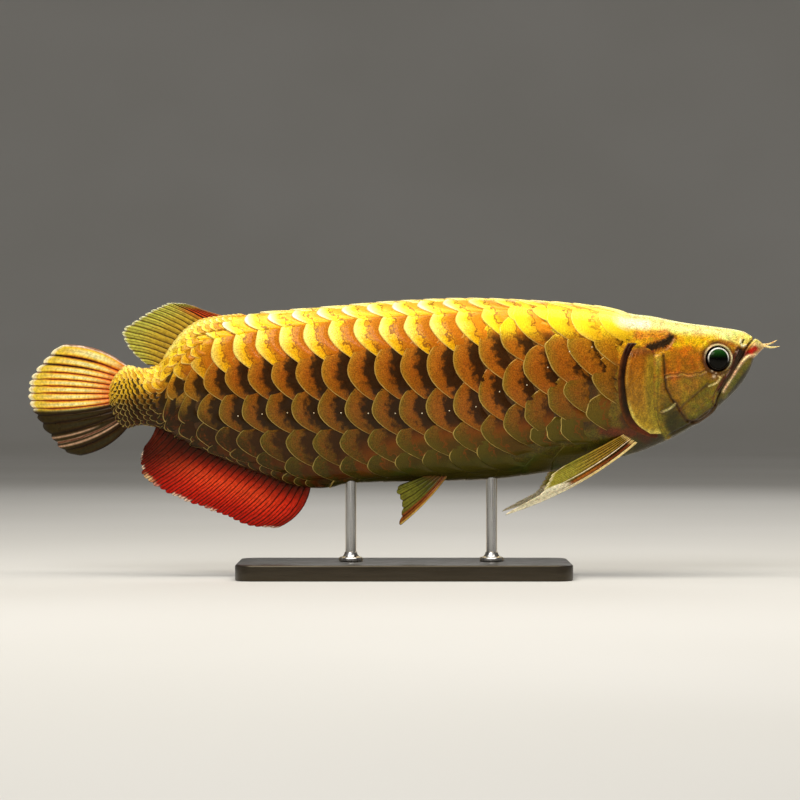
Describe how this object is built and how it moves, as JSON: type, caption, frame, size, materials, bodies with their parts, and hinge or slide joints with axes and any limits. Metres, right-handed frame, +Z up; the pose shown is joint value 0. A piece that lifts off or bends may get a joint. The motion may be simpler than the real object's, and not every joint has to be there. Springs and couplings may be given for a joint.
{
  "type": "asian arowana",
  "caption": "Life-size still model of a long, deep-bodied golden fish with large scales, a red anal fin and chin feelers, held swimming above a flat base on short rods.",
  "frame": {"origin": "under the middle of the whole model, on the surface that the stand's base rests on", "axes": "+X from the tail to the snout, +Z up, and the fish's right side faces -Y"},
  "size_m": [0.5656, 0.116, 0.2105],
  "materials": {
    "skin": "satin golden skin over bone, wet sheen",
    "scales": "large glossy golden scales with pale rims and dark cores",
    "gill_cover": "smooth glossy golden bone plate",
    "eye": "dark glassy eye with a silver and gold ring",
    "barbel": "pale gold soft feeler",
    "dorsal_fin": "olive gold membrane on fine rays",
    "anal_fin": "vivid red membrane on darker rays",
    "tail_fin": "golden orange ray bundles over a dark lower third",
    "paired_fin": "olive gold membrane with a pale leading ray",
    "stand_base": "wood under a satin black lacquer",
    "stand_rod": "fine brushed steel"
  },
  "bodies": {
    "root": {"head": "skin", "lower_jaw": "skin", "trunk": "scales", "tail": "scales", "tail_stalk": "scales", "gill_cover_right": "gill_cover", "gill_cover_left": "gill_cover", "eye_right": "eye", "eye_left": "eye", "barbel_right": "barbel", "barbel_left": "barbel", "dorsal_fin": "dorsal_fin", "anal_fin": "anal_fin", "tail_fin": "tail_fin", "pectoral_fin_right": "paired_fin", "pectoral_fin_left": "paired_fin", "pelvic_fin_right": "paired_fin", "pelvic_fin_left": "paired_fin", "stand_base": "stand_base", "stand_rod_front": "stand_rod", "stand_rod_rear": "stand_rod"}
  },
  "joints": []
}
